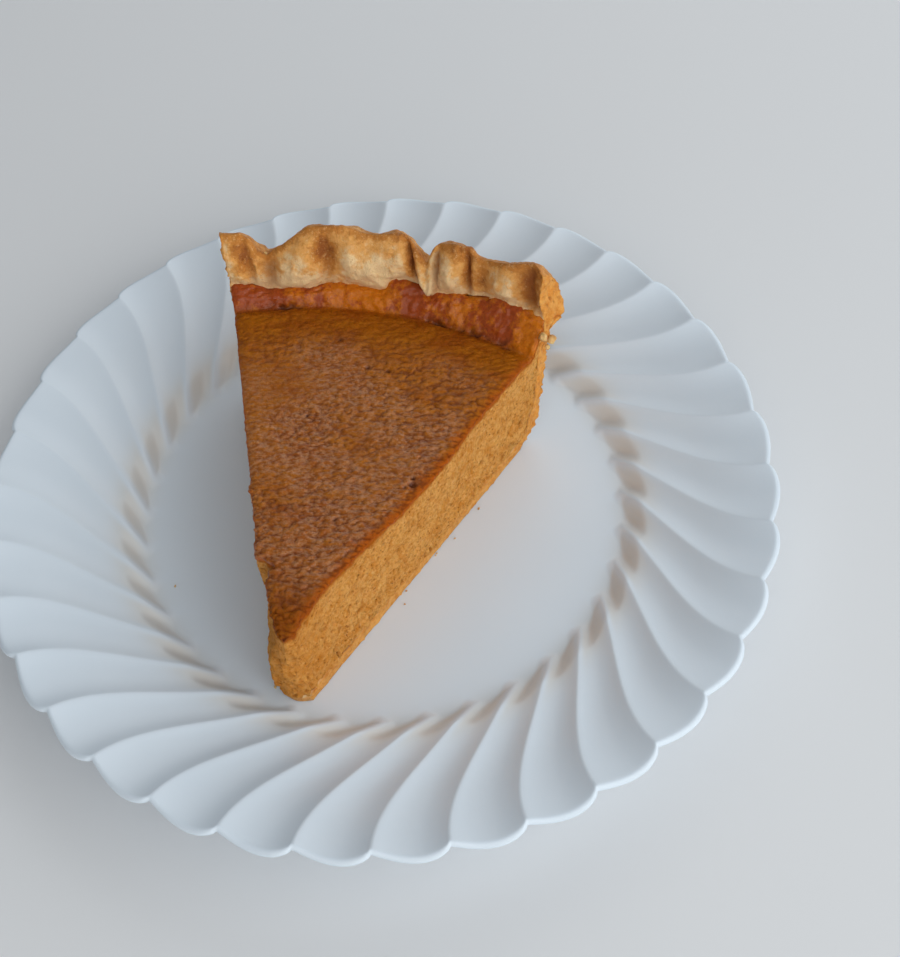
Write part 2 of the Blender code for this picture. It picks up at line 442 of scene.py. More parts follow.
def custard_finish():
    """Baked pumpkin custard: a brown glossy skin on top, orange crumb full of pores where it is cut."""
    finish = Finish("pumpkin_custard_finish")
    depth = finish.attribute("depth")
    band = finish.attribute("band")
    shaded_crease = finish.attribute("shaded_crease")
    edge = finish.attribute("edge")
    pit_shade = finish.attribute("pit_shade")
    tip = finish.attribute("tip")
    ember = finish.attribute("ember")
    gloss_and_sheen = finish.attribute("gloss_and_sheen")
    hollow = finish.attribute("hollow")
    # Skin on top
    blotch = finish.noise(24.0, detail=5.0, roughness=0.6)
    streak = finish.noise(3.0, detail=4.0, stretch=(0.4, 1.0, 1.0))
    fleck = finish.noise(0.9, detail=4.0, roughness=0.75, stretch=(0.6, 1.0, 1.0))
    skin = finish.mix(finish.scale(blotch, 0.36, 0.66), (0.42, 0.118, 0.002), (0.32, 0.072, 0.002))
    skin = finish.mix(finish.scale(streak, 0.4, 0.72, 0.0, 0.6), skin, (0.50, 0.160, 0.004))
    rim_glow = finish.math("MULTIPLY_ADD", finish.noise(3.0, detail=5.0, roughness=0.7), 1.5, -0.75)
    rim_glow = finish.scale(finish.math("ADD", edge, rim_glow), 0.25, 0.95, 0.0, 0.85)
    skin = finish.mix(rim_glow, skin, (0.46, 0.092, 0.001))
    # Painted shade: the hollows between the skin's ripples are darkened where shade falls.
    skin = finish.mix(finish.math("MULTIPLY", hollow, 0.75), skin, (0.19, 0.036, 0.001))
    # Painted sheen: light tan flecks on the glossy skin stand in for the sheen of light on its ripples.
    painted_sheen = finish.math("MULTIPLY", finish.scale(fleck, 0.42, 0.68), gloss_and_sheen)
    skin = finish.mix(finish.math("MULTIPLY", painted_sheen, 0.80), skin, (0.60, 0.275, 0.120))
    skin = finish.mix(finish.scale(fleck, 0.58, 0.74, 0.0, 0.7), skin, (0.13, 0.024, 0.001))
    mottled = finish.noise(2.2, detail=4.0, roughness=0.65)
    ember = finish.math("ADD", ember, finish.math("MULTIPLY_ADD", mottled, 2.6, -1.3))
    red = finish.mix(finish.scale(ember, 0.15, 0.85), (0.64, 0.170, 0.002), (0.38, 0.062, 0.005))
    skin = finish.mix(finish.math("MULTIPLY", tip, 0.45), skin, (0.20, 0.042, 0.001))
    skin = finish.mix(band, skin, red)
    # Painted shade: the crease and the pits in the top are darkened where shade falls in them.
    dark = finish.math("MAXIMUM", shaded_crease, finish.math("MULTIPLY", pit_shade, finish.scale(depth, 0.8, 0.2)))
    skin = finish.mix(finish.math("MULTIPLY", dark, 0.85), skin, (0.10, 0.018, 0.004))
    # Crumb inside
    mottle = finish.noise(4.0, detail=5.0, roughness=0.7)
    grain = finish.noise(0.8, detail=4.0, roughness=0.75)
    crumb = finish.mix(finish.scale(mottle, 0.35, 0.68), (0.92, 0.435, 0.105), (0.74, 0.275, 0.036))
    crumb = finish.mix(finish.scale(grain, 0.50, 0.68, 0.0, 0.75), crumb, (0.50, 0.150, 0.014))
    crumb = finish.mix(finish.scale(grain, 0.48, 0.34, 0.0, 0.8), crumb, (0.95, 0.530, 0.180))
    # Small pores in the crumb: painted darker as painted shade, and dented in the bump.
    shaded_pores = finish.scale(finish.cells(1.25), 0.10, 0.30, 1.0, 0.0)
    crumb = finish.mix(finish.math("MULTIPLY", shaded_pores, finish.scale(mottle, 0.40, 0.60, 0.2, 0.9)), crumb, (0.38, 0.095, 0.007))
    # Painted shade in the crumb's pores.
    crumb = finish.mix(finish.math("MULTIPLY", pit_shade, 0.95), crumb, (0.26, 0.058, 0.003))
    crumb = finish.mix(finish.math("MULTIPLY", tip, 0.35), crumb, (0.70, 0.230, 0.020))
    # From skin to crumb with depth
    wobble = finish.math("MULTIPLY_ADD", finish.noise(4.0, detail=3.0), 1.6, -0.8)
    level = finish.math("ADD", depth, wobble)
    glow = finish.mix(finish.scale(level, 0.9, 2.6), (0.50, 0.125, 0.004), crumb)
    colour = finish.mix(finish.scale(level, 0.35, 1.3), skin, glow)
    inside = finish.scale(level, 0.3, 1.2)
    # Relief
    ripple = finish.noise(0.95, detail=4.0, roughness=0.65, stretch=(0.6, 1.0, 1.0))
    fine = finish.noise(0.5, detail=4.0, roughness=0.7)
    porous = finish.math("SUBTRACT", fine, finish.math("MULTIPLY", shaded_pores, 0.35))
    relief = finish.between(inside, finish.between(0.4, ripple, fine), porous)
    normal = finish.bump(relief, 0.9)
    finish.set(
        base_color=colour,
        roughness=finish.between(inside, finish.scale(streak, 0.3, 0.7, 0.34, 0.46), 0.7),
        specular_ior_level=0.12,
        coat_weight=finish.math("MULTIPLY", gloss_and_sheen, finish.between(inside, 0.60, 0.0)),
        coat_roughness=0.22,
        subsurface_weight=0.12,
        subsurface_scale=0.002,
        normal=normal,
    )
    finish.shader.inputs["Subsurface Radius"].default_value = (1.0, 0.45, 0.15)
    return finish.material


def pastry_finish():
    """Baked shortcrust: pale and creamy low down, golden above, brown on the ridges, porous where cut."""
    finish = Finish("baked_pastry_finish")
    toast_and_shading = finish.attribute("toast_and_shading")
    cut = finish.attribute("cut")
    fold_shade = finish.attribute("fold_shade")
    pit_shade = finish.attribute("pit_shade")
    join_darkening = finish.attribute("join_darkening")
    base = finish.attribute("base")
    patch = finish.noise(6.0, detail=5.0, roughness=0.65)
    mottle = finish.noise(2.0, detail=5.0, roughness=0.72)
    fleck = finish.noise(0.8, detail=4.0, roughness=0.75)
    warmth = finish.math("MULTIPLY_ADD", patch, 1.5, -0.75)
    warmth = finish.math("ADD", warmth, finish.math("MULTIPLY_ADD", mottle, 1.3, -0.65))
    # The toast layer holds real browning plus the painted shade and painted highlights of the rim's spots.
    level = finish.math("ADD", toast_and_shading, warmth)
    colour = finish.mix(finish.scale(level, -0.05, 0.40), (0.98, 0.680, 0.350), (0.88, 0.420, 0.105))
    colour = finish.mix(finish.scale(level, 0.40, 0.78), colour, (0.62, 0.230, 0.032))
    colour = finish.mix(finish.scale(level, 0.78, 1.20), colour, (0.34, 0.098, 0.012))
    colour = finish.mix(finish.scale(fleck, 0.55, 0.72, 0.0, 0.55), colour, (0.50, 0.185, 0.035))
    colour = finish.mix(finish.scale(fleck, 0.46, 0.32, 0.0, 0.6), colour, (0.97, 0.620, 0.270))
    # Painted shade in the folds pressed into the rim.
    colour = finish.mix(finish.math("MULTIPLY", fold_shade, 0.8), colour, (0.30, 0.085, 0.012))
    # Darker along the line where the filling meets the crust.
    colour = finish.mix(join_darkening, colour, (0.46, 0.130, 0.014))
    inside = finish.mix(finish.scale(mottle, 0.38, 0.66), (0.88, 0.400, 0.075), (0.72, 0.250, 0.022))
    inside = finish.mix(finish.scale(fleck, 0.54, 0.76, 0.0, 0.6), inside, (0.56, 0.200, 0.020))
    # Painted shade in the pores of the cut crust.
    inside = finish.mix(finish.math("MULTIPLY", pit_shade, 0.8), inside, (0.36, 0.120, 0.020))
    bottom = finish.mix(finish.scale(mottle, 0.38, 0.66), (0.86, 0.400, 0.085), (0.66, 0.240, 0.028))
    inside = finish.mix(base, inside, bottom)
    colour = finish.mix(cut, colour, inside)
    fine = finish.noise(0.5, detail=4.0, roughness=0.7)
    blister = finish.noise(1.5, detail=4.0, roughness=0.65)
    normal = finish.bump(finish.between(0.5, fine, blister), 0.95)
    finish.set(
        base_color=colour,
        roughness=finish.scale(mottle, 0.3, 0.7, 0.46, 0.64),
        specular_ior_level=0.4,
        subsurface_weight=0.08,
        subsurface_scale=0.0015,
        normal=normal,
    )
    finish.shader.inputs["Subsurface Radius"].default_value = (1.0, 0.5, 0.2)
    return finish.material


def floor_finish():
    finish = Finish("pale_floor")
    tone = finish.noise(400.0, detail=2.0)
    finish.set(base_color=finish.mix(tone, (0.80, 0.81, 0.82), (0.83, 0.84, 0.85)), roughness=0.7)
    return finish.material


# ---------------------------------------------------------------- plate


def plate_rise(radius, hollow=0.0):
    """Height of the plate's upper side over its well floor, on a ridge or, with hollow 1, between two."""
    share = np.maximum(radius - FLUTE_START, 0.0) / (RIM_RADIUS - FLUTE_START)
    step = WALL_RISE * ramp(WELL_RADIUS + HOLLOW_REACH * hollow, WALL_END + 1.2 * hollow, radius)
    return step + (RIM_RISE - WALL_RISE) * share**RISE_POWER


def plate_thickness(radius):
    return PLATE_THICKNESS + (EDGE_THICKNESS - PLATE_THICKNESS) * ramp(72.0, 97.0, radius)


def swirl(radius):
    """Degrees that a ridge has turned anticlockwise at this radius, against its end at the edge."""
    inward = np.clip((RIM_RADIUS - radius) / (RIM_RADIUS - FLUTE_START), 0.0, 1.0)
    return FLUTE_SWIRL * inward**SWIRL_CURVE


def plate_rings():
    """Rings as (radius, drop below the upper side): upper side, round edge and fluted underside."""
    edge = 0.5 * EDGE_THICKNESS
    top_end = RIM_RADIUS - edge
    radii = list(np.linspace(4.0, 56.0, 14)) + list(np.linspace(57.5, 61.5, 11))
    radii += list(np.linspace(62.0, top_end, 64))
    rings = [(r, 0.0) for r in radii]
    for turn in np.linspace(0.0, math.pi, 14)[1:]:
        rings.append((top_end + edge * math.sin(turn), edge * (1.0 - math.cos(turn))))
    for radius in np.linspace(top_end, 62.0, 17)[1:]:
        rings.append((radius, plate_thickness(radius)))
    return rings


def foot_rings():
    """Rings as (radius, height) around the foot, from outside to inside."""
    under = FLOOR_Z - PLATE_THICKNESS
    rings = [(57.5, under - 0.4), (55.0, under - 0.8), (53.9, under - 1.3)]
    middle = 0.5 * (FOOT_OUTER + FOOT_INNER)
    half = 0.5 * (FOOT_OUTER - FOOT_INNER)
    for turn in np.linspace(0.0, math.pi, 9):
        rings.append((middle + half * math.cos(turn), half * (1.0 - math.sin(turn)) * 0.75))
    rings += [(47.6, UNDERSIDE_Z), (30.0, UNDERSIDE_Z), (4.0, UNDERSIDE_Z)]
    return rings


def ring_points(radius, place, turned, height):
    """A ring around the plate's centre. place counts flutes around it."""
    turn = np.radians(FIRST_NOTCH - FLUTE_STEP * place + turned)
    return np.stack(np.broadcast_arrays(radius * np.cos(turn), radius * np.sin(turn), height), axis=-1)


def build_plate():
    even = np.arange(FLUTE_SAMPLES) / FLUTE_SAMPLES
    lobe = np.tile(even - 0.32 * np.sin(2.0 * np.pi * even) / (2.0 * np.pi), FLUTES)
    flute = np.repeat(np.arange(FLUTES), FLUTE_SAMPLES)
    between = 4.0 * lobe * (1.0 - lobe)
    scoop = np.sin(np.pi * lobe) ** 2
    rows = []
    for radius, drop in plate_rings():
        depth = INNER_DEPTH * ramp(WELL_RADIUS + 1.0, WALL_END, radius)
        depth += (FLUTE_DEPTH - INNER_DEPTH) * ramp(WALL_END, FLUTE_FULL, radius)
        dip = depth * (between + 0.10 * hill(np.minimum(lobe, 1.0 - lobe), 0.035))
        hollow = scoop if drop < 2.0 else 0.0
        height = FLOOR_Z + plate_rise(min(radius, RIM_RADIUS - 1.0), hollow) - dip - drop
        reach = SCALLOP * np.sin(np.pi * lobe**SCALLOP_LEAN) * (radius / RIM_RADIUS) ** 12
        rows.append(ring_points(radius + reach, flute + lobe, swirl(radius), height))
    for radius, height in foot_rings():
        rows.append(ring_points(radius, flute + lobe, swirl(radius), height))
    patch = Patchwork(3)
    numbers = patch.add(np.array(rows))
    patch.quads(numbers, wrap=True)
    for row, height in ((numbers[0], FLOOR_Z), (numbers[-1], UNDERSIDE_Z)):
        centre = int(patch.add(np.array([0.0, 0.0, height])))
        following = np.roll(row, -1)
        patch.faces += [[int(a), int(b), centre] for a, b in zip(row, following)]
    points = np.concatenate(patch.points)
    sag = 0.10 * noise(points, 45.0, 3) + 0.05 * noise(points, 17.0, 4)
    points[:, 2] += np.where(points[:, 2] > 2.6, sag, 0.0)
    out = np.hypot(points[:, 0], points[:, 1])
    centre = np.zeros(len(points))
    centre[: numbers.size] = np.tile(between, len(numbers))
    # Mask for the painted shade and warm bounced light in the hollows of the step around the well.
    step = hill(out - 65.5, 4.2) * ramp(0.15, 0.8, centre)
    return make_piece("plate_glazed", points, patch.faces, glaze_finish(), {"step": step})


# ---------------------------------------------------------------- slice


def cut_angle(share, height):
    """Angle at this share of the way from the left cut to the right one, at this height."""
    end = RIGHT_CUT - RIM_SETBACK * ramp(36.0, 46.0, height)
    return LEFT_CUT + share * (end - LEFT_CUT)


def to_xyz(angle, radius, height):
    turn = np.radians(angle)
    east = PIE_CENTRE[0] + radius * np.sin(turn)
    north = PIE_CENTRE[1] + radius * np.cos(turn)
    return np.stack([east, north, SLICE_Z + height], axis=-1)


def nose(share, radius):
    """The radius, with the slice's blunt tip rounded off."""
    return radius + 2.5 * (2.0 * share - 1.0) ** 2 * np.exp(-(radius - 6.0) / 4.5)


def base_wave(share, radius, height):
    """How far the line between base and filling wanders up or down."""
    spot = np.stack([radius, 60.0 * share, np.zeros(len(share))], axis=-1)
    wave = 0.9 * rough(spot, 7.0, 71, 3)
    return wave * hill(height - BASE_TOP, 1.8) * ramp(97.0, 90.0, radius)


def contact(angle):
    """Radius and height where the filling meets the crust."""
    shift = keyed(CONTACT_SHIFTS, angle)
    return CONTACT_RADIUS + CONTACT_OUT * shift, CONTACT_HEIGHT + CONTACT_UP * shift


def along(outline, share):
    """Points at shares of the way along an outline, a (..., corners, 2) array, by even steps."""
    outline = np.asarray(outline, float)
    spot = np.clip(share, 0.0, 1.0) * (outline.shape[-2] - 1)
    index = np.minimum(spot.astype(int), outline.shape[-2] - 2)
    part = (spot - index)[..., None]
    return outline[..., index, :] * (1.0 - part) + outline[..., index + 1, :] * part


def smooth_line(corners, steps):
    """A smooth line through the corners, a (..., corners, 2) array, with that many steps for each gap."""
    corners = np.asarray(corners, float)
    first = 2.0 * corners[..., :1, :] - corners[..., 1:2, :]
    last = 2.0 * corners[..., -1:, :] - corners[..., -2:-1, :]
    padded = np.concatenate([first, corners, last], axis=-2)
    parts = []
    for gap in range(corners.shape[-2] - 1):
        before, start, end, after = (padded[..., gap + k, None, :] for k in range(4))
        t = (np.arange(steps) / steps)[:, None]
        parts.append(
            start
            + 0.5 * t * (end - before)
            + 0.5 * t**2 * (2.0 * before - 5.0 * start + 4.0 * end - after)
            + 0.5 * t**3 * (3.0 * start - before - 3.0 * end + after)
        )
    parts.append(corners[..., -1:, :])
    return np.concatenate(parts, axis=-2)


def normals_of(piece):
    numbers = np.zeros(len(piece.data.vertices) * 3)
    piece.data.vertices.foreach_get("normal", numbers)
    return numbers.reshape(-1, 3)


def move(piece, points):
    piece.data.vertices.foreach_set("co", (points * MM).ravel())
    piece.data.update()


# ---------------------------------------------------------------- filling


def filling_top(share):
    """Radius and height over the filling's top at these angular shares, from the tip to the crust."""
    angle = LEFT_CUT + share * SPREAD
    in_radius, in_height = contact(angle)
    flat = np.linspace(6.2, CREASE_RADIUS, FILLING_ROWS)
    flat_height = FILLING_TOP - 1.0 * hill(flat - 5.0, 4.0) - 0.6 * ramp(99.0, CREASE_RADIUS, flat)
    climb = np.linspace(0.0, 1.0, CLIMB_ROWS + 1)[1:]
    end = np.stack([in_radius + 0.2, in_height + 0.1], axis=-1)
    radius = np.concatenate(
        [
            np.broadcast_to(flat, (len(share), FILLING_ROWS)),
            CREASE_RADIUS + (end[:, :1] - CREASE_RADIUS) * climb,
        ],
        axis=1,
    )
    bulge = 0.7 * np.sin(np.pi * climb)
    height = np.concatenate(
        [
            np.broadcast_to(flat_height, (len(share), FILLING_ROWS)),
            CREASE_HEIGHT + (end[:, 1:] - CREASE_HEIGHT) * climb + bulge,
        ],
        axis=1,
    )
    return radius, height


FILLING_ROWS = 280
CLIMB_ROWS = 22
FILLING_LAYERS = 64
LEFT_EDGE = (
    (5.0, -2.6),
    (8.0, -2.3),
    (13.0, -1.8),
    (20.6, -1.3),
    (22.6, -2.3),
    (24.4, -3.6),
    (26.2, -1.8),
    (27.6, 0.5),
    (30.6, 0.5),
    (33.0, 0.0),
    (44.6, 0.0),
    (46.5, 0.5),
    (48.4, 0.0),
    (110.0, 0.0),
)
# Little hollows in the top: radius, angle, width and depth.
TOP_PITS = (
    (83.4, 12.6, 0.6, 0.7),
    (83.3, 16.2, 0.5, 0.5),
    (91.3, 6.8, 0.5, 0.5),
    (54.9, 33.0, 0.8, 1.1),
    (56.6, 32.2, 0.5, 0.8),
    (53.4, 32.0, 0.4, 0.6),
    (67.0, 3.5, 0.4, 0.4),
    (38.5, 19.0, 0.4, 0.4),
    (6.9, 25.0, 0.6, 0.6),
)
# Stretches of the crease that are dented and painted darker as painted shade in the wrinkled skin: angle and half
# width.
DARK_CREASES = ((-2.2, 2.4), (20.5, 2.0), (25.4, 2.4), (30.5, 1.2))


# How red the band between the crease and the crust is at each angle: 0 is orange, 1 dark red.
EMBERS = (
    (-9.6, 0.95),
    (-4.0, 1.0),
    (-1.0, 0.45),
    (2.5, 0.65),
    (5.0, 0.3),
    (11.0, 0.0),
    (13.2, 0.4),
    (15.7, 0.95),
    (18.5, 0.65),
    (23.0, 0.35),
    (26.5, 0.7),
    (30.0, 1.0),
    (32.0, 0.2),
    (34.9, 0.1),
)


def filling_floor(top_radius, top_height):
    """Where each row of the filling's top comes down to: the crust's base or its wall."""
    wall = [(r, h + 0.2) for r, h in INNER_WALL] + [(105.8, 33.0)]
    rows = top_radius.shape[-1]
    start = int(np.searchsorted(top_radius[0], 91.0))
    radius = np.minimum(top_radius, 91.0) + 0.9 * hill(top_radius - 6.2, 4.0)
    height = np.full_like(radius, BASE_TOP)
    for i in range(len(top_radius)):
        line = [(radius[i, start], BASE_TOP)] + wall + [(top_radius[i, -1], top_height[i, -1])]
        line = np.array(line)
        steps = np.concatenate([[0.0], np.cumsum(np.hypot(*np.diff(line, axis=0).T))])
        spots = np.linspace(0.0, steps[-1], rows - start)
        radius[i, start:] = np.interp(spots, steps, line[:, 0])
        height[i, start:] = np.interp(spots, steps, line[:, 1])
    return radius, height


def stacked(share, radius, height, depth):
    """Lattice points (angular share, radius, height, depth below the top) from arrays that broadcast."""
    return np.stack(np.broadcast_arrays(share, radius, height, depth), axis=-1)


def filling_lattice():
    """The filling's surface as lattice points, before any relief."""
    patch = Patchwork(4)
    last_row = FILLING_ROWS + CLIMB_ROWS
    previous = None
    for first, last, columns in ((0, 70, 60), (71, 150, 120), (151, last_row - 1, 240)):
        share = np.linspace(0.0, 1.0, columns + 1)
        radius, height = filling_top(share)
        block = stacked(share[:, None], radius, height, 0.0)
        numbers = patch.add(block[:, first : last + 1])
        patch.quads(numbers)
        if previous is not None:
            patch.seam(previous, numbers[:, 0])
        previous = numbers[:, -1]
    layers = np.linspace(0.0, 1.0, FILLING_LAYERS + 1)
    for side in (0.0, 1.0):
        radius, height = filling_top(np.array([side]))
        low_radius, low_height = filling_floor(radius, height)
        across = low_radius + layers[:, None] * (radius - low_radius)
        up = low_height + layers[:, None] * (height - low_height)
        across[-1] = radius[0]
        up[-1] = height[0]
        patch.grid(stacked(side, across, up, (1.0 - layers[:, None]) * np.hypot(height - low_height, radius - low_radius)))
    share = np.linspace(0.0, 1.0, 61)
    radius, height = filling_top(share)
    low_radius, low_height = filling_floor(radius, height)
    across = low_radius[:, :1] + layers * (radius[:, :1] - low_radius[:, :1])
    up = low_height[:, :1] + layers * (height[:, :1] - low_height[:, :1])
    across[:, -1] = radius[:, 0]
    up[:, -1] = height[:, 0]
    deep = np.hypot(height - low_height, radius - low_radius)
    tip = patch.add(stacked(share[:, None], across, up, (1.0 - layers) * deep[:, :1]))
    patch.quads(tip)
    under = stacked(share[:, None], low_radius, low_height, deep)[::10]
    numbers = patch.add(under[:, 1:-1])
    patch.quads(numbers)
    patch.seam(tip[:, 0], numbers[:, 0])
    patch.seam(previous, numbers[:, -1])
    return patch


def build_filling():
    points, faces = filling_lattice().welded()
    share, radius, height, depth = points.T
    radius = nose(share, radius)
    height = height + base_wave(share, radius, height)
    angle = cut_angle(share, height)
    left = radius * math.radians(SPREAD) * share
    right = radius * math.radians(SPREAD) * (1.0 - share)
    near_top = np.exp(-depth / 3.0)
    on_top = np.exp(-depth / 0.4)
    place = to_xyz(angle, radius, height)

    # Where the cuts stray from a straight line
    upper = ramp(8.0, 30.0, height)
    push = (0.25 + 0.75 * upper) * keyed(RIGHT_EDGE, radius) * np.exp(-right / 6.0)
    turn = math.radians(RIGHT_CUT)
    place += push[:, None] * np.array([math.cos(turn), -math.sin(turn), 0.0])
    swell = 1.3 * hill(radius - 9.0, 9.0) * hill(height - 14.0, 10.0)
    push = (ramp(14.0, 31.0, height) * keyed(LEFT_EDGE, radius) + swell) * np.exp(-left / 3.5)
    turn = math.radians(LEFT_CUT)
    place += push[:, None] * np.array([-math.cos(turn), math.sin(turn), 0.0])

    # The top's long swells, its dimpled skin, its rounded edges and its pits
    flat = place * np.array([1.0, 1.0, 0.0])
    lift = 0.45 * noise(flat, 42.0, 11) + 0.16 * rough(flat, (11.0, 6.0, 6.0), 12)
    lift -= 0.7 * (np.exp(-left / 0.9) + np.exp(-right / 0.9))
    shaded_crease = np.zeros(len(points))
    wobble = 0.7 * noise(flat, 9.0, 16)
    line = hill(radius - CREASE_RADIUS - wobble, 1.1) * on_top
    lift -= 0.55 * hill(radius - CREASE_RADIUS - wobble, 1.3)
    # Dark stretches of the crease: dented, and painted darker as painted shade.
    for middle, width in DARK_CREASES:
        shaded_crease = np.maximum(shaded_crease, line * hill(angle - middle, width))
    shaded_crease *= ramp(-0.35, 0.15, noise(flat, (1.8, 1.2, 1.2), 18))
    lift -= 0.8 * shaded_crease
    # Pits in the top: dented, and painted darker as painted shade.
    pit_shade = np.zeros(len(points))
    for spot_radius, spot_angle, width, deep in TOP_PITS:
        spot = to_xyz(np.array(spot_angle), np.array(spot_radius), np.array(0.0))
        dent = hill(np.hypot(flat[:, 0] - spot[0], flat[:, 1] - spot[1]), width)
        lift -= deep * dent
        pit_shade = np.maximum(pit_shade, dent * on_top)
    place[:, 2] += lift * near_top
    band = ramp(100.9, 103.6, radius + wobble + 0.5 * noise(flat, 2.0, 19)) * on_top

    piece = make_piece("pumpkin_filling", place, faces, custard_finish())
    normals = normals_of(piece)
    cut = ramp(0.5, 2.0, depth)
    grainy = ramp(-0.5, 0.4, noise(flat, 22.0, 21) + 0.6 * ramp(60.0, 30.0, radius) + 0.3 * share)
    scales = np.abs(noise(place, (3.3, 1.5, 2.5), 22))
    finer = np.abs(noise(place, (1.7, 1.0, 1.3), 23))
    ripple = 0.80 * np.minimum(scales, 0.5) + 0.70 * np.minimum(finer, 0.5) - 0.34
    grainy *= 0.3 + 0.7 * ramp(98.0, 84.0, radius)
    skin = ripple * (0.25 + 0.75 * grainy) + 0.45 * band * rough(place, 2.2, 24, 2)
    low = ramp(30.0, 8.0, height)
    holes = pores(place, 2.6, 31, share=0.45, smallest=0.18, largest=0.38)
    holes = holes * np.maximum(low, ramp(60.0, 20.0, radius))
    small = pores(place, 1.15, 33, share=0.6, smallest=0.2, largest=0.45)
    crumb = 0.60 * rough(place, 5.0, 25, 2) + 0.42 * rough(place, 1.6, 26, 2)
    crumb = crumb * (0.75 + 0.5 * low) - 1.2 * holes - 0.35 * small
    move(piece, place + normals * ((1.0 - cut) * skin + cut * crumb)[:, None])
    glossy = ramp(96.0, 84.0, radius) * ramp(11.0, 24.0, radius) * ramp(0.5, 3.0, right)
    glossy *= 0.35 + 0.65 * ramp(-0.35, 0.35, noise(flat, 16.0, 27) + 0.4 * ramp(86.0, 60.0, radius))
    glow = 2.0 + 1.6 * hill(radius - 38.0, 24.0)
    # Painted shadow in the notch on the left edge of the top.
    notch = hill(radius - 24.4, 1.6) * np.exp(-left / 2.0) * ramp(8.0, 5.0, depth) * cut
    layers = {
        "depth": depth,
        "band": band,
        "shaded_crease": shaded_crease,
        # The pit layer holds painted shade in the top's pits and the cut's pores, and painted shadow in the notch.
        "pit_shade": np.maximum(pit_shade + notch, cut * np.maximum(holes, 0.55 * small)),
        "edge": np.maximum(np.exp(-right / glow), 0.75 * np.exp(-left / 0.8)) * (1.0 - band),
        "ember": keyed(EMBERS, angle),
        # The gloss layer sets the coat's weight and also masks the painted sheen.
        "gloss_and_sheen": np.maximum(glossy, 0.9 * band * (1.0 - 0.5 * ramp(0.4, 0.1, keyed(EMBERS, angle)))),
        # The hollow layer marks the skin's ripple hollows, which the material darkens as painted shade.
        "hollow": ramp(0.0, -0.22, ripple) * (0.3 + 0.7 * grainy) * on_top * (1.0 - band),
        "tip": ramp(30.0, 9.0, radius),
    }
    paint(piece, layers)
    return piece


# ---------------------------------------------------------------- crust

CRUST_COLUMNS = 220
BASE_COLUMNS = 24
BASE_ROWS = 150
CUT_LAYERS = 20
# Folds pressed into the rim's inner face: angle at its foot, angle at its top, half width in
# degrees, and how far it goes back. A minus is a bulge.
RIM_FOLDS = (
    (-6.4, -6.8, 0.5, 1.1),
    (-8.2, -8.2, 0.9, -0.9),
    (-4.0, -3.9, 1.0, 1.8),
    (0.4, 0.9, 2.3, -1.6),
    (3.6, 4.2, 0.8, 1.0),
    (8.0, 7.6, 2.5, -1.7),
    (12.9, 12.4, 1.3, -1.1),
    (16.6, 14.5, 0.5, 3.0),
    (17.6, 16.6, 0.9, -1.8),
    (19.0, 18.7, 0.4, 1.9),
    (21.0, 20.9, 1.1, -1.7),
    (23.3, 22.9, 0.5, 2.4),
    (25.4, 25.2, 0.9, 0.6),
    (28.4, 28.2, 1.7, -1.6),
    (31.9, 31.5, 1.3, 2.4),
    (34.4, 34.4, 0.8, -0.8),
)
# Knobs and dents on the rim's inner face: angle, level up the face, half width in degrees, half
# height as a share of the face, how far it goes back, and how much browner it is painted. That is
# partly real browning and partly painted shade in the dents and painted highlight on the knobs (a minus is paler).
RIM_SPOTS = (
    (-9.2, 0.7, 0.7, 0.25, -0.5, -0.2),
    (-7.2, 0.55, 1.7, 0.40, 0.3, 0.95),
    (-7.6, 0.12, 1.2, 0.14, -0.3, -0.15),
    (-4.4, 0.25, 0.8, 0.22, -0.5, -0.25),
    (-1.2, 0.62, 1.2, 0.20, -0.5, -0.2),
    (-1.0, 0.20, 2.4, 0.16, -0.4, -0.3),
    (3.3, 0.66, 1.8, 0.25, 0.4, 0.85),
    (4.6, 0.40, 1.1, 0.18, 0.3, 0.45),
    (7.2, 0.72, 0.8, 0.14, -0.4, -0.15),
    (9.8, 0.42, 0.8, 0.16, -0.8, -0.45),
    (11.4, 0.74, 0.7, 0.12, -0.6, -0.25),
    (11.8, 0.16, 1.8, 0.14, -0.5, -0.35),
    (13.9, 0.55, 0.5, 0.22, -0.5, -0.1),
    (15.3, 0.50, 0.7, 0.40, 0.2, 1.0),
    (16.9, 0.55, 0.5, 0.20, -0.5, -0.15),
    (18.5, 0.20, 0.8, 0.20, -1.9, -0.45),
    (20.4, 0.50, 0.7, 0.22, -0.6, -0.2),
    (21.7, 0.80, 0.9, 0.12, 0.3, 0.5),
    (23.0, 0.55, 0.7, 0.40, 0.2, 1.0),
    (24.7, 0.45, 1.2, 0.30, 0.4, 0.7),
    (27.2, 0.55, 0.7, 0.16, -0.6, -0.2),
    (29.2, 0.30, 1.2, 0.18, -0.4, -0.15),
    (31.3, 0.50, 1.6, 0.50, 0.3, 1.1),
    (33.8, 0.86, 0.8, 0.12, -0.4, 0.0),
)


